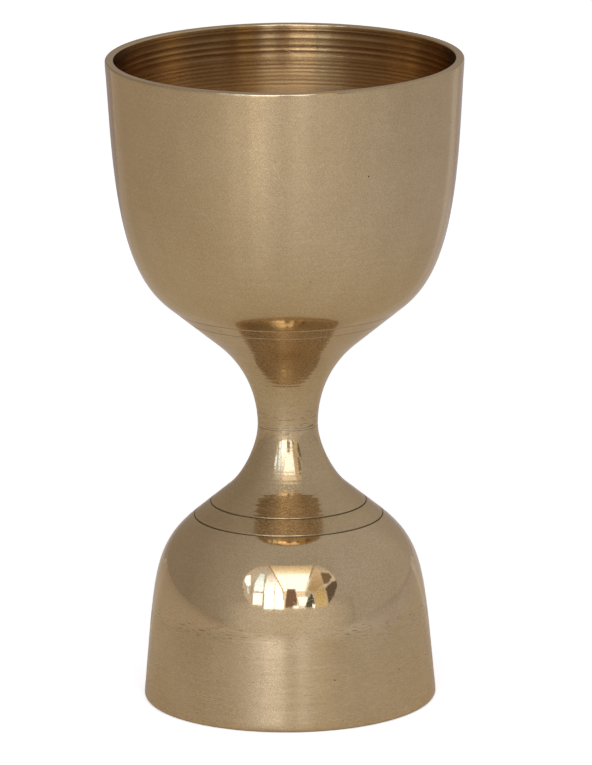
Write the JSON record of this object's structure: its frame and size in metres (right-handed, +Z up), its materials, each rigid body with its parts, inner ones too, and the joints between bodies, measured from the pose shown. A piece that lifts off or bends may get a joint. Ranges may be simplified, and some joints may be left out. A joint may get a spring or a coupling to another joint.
{
  "type": "bar jigger",
  "caption": "Double-ended turned brass measure: a large cup above and a small cup below, joined by a slim flared neck.",
  "frame": {"origin": "centre of the small cup's rim, on the surface that the jigger stands on", "axes": "+Z up along the common axis of both cups, from the small rim to the large rim"},
  "size_m": [0.052, 0.052, 0.0953],
  "materials": {
    "cup_brass": "satin champagne brass, turned",
    "collar_brass": "satin champagne brass, turned",
    "neck_brass": "polished champagne brass, fine turning marks",
    "silver_solder": "satin silver solder",
    "stud_steel": "rolled thread"
  },
  "bodies": {
    "root": {"large_cup": "cup_brass", "small_cup": "cup_brass", "upper_collar": "collar_brass", "lower_collar": "collar_brass", "upper_neck": "neck_brass", "lower_neck": "neck_brass", "waist_washer": "silver_solder", "neck_stud": "stud_steel"}
  },
  "joints": []
}
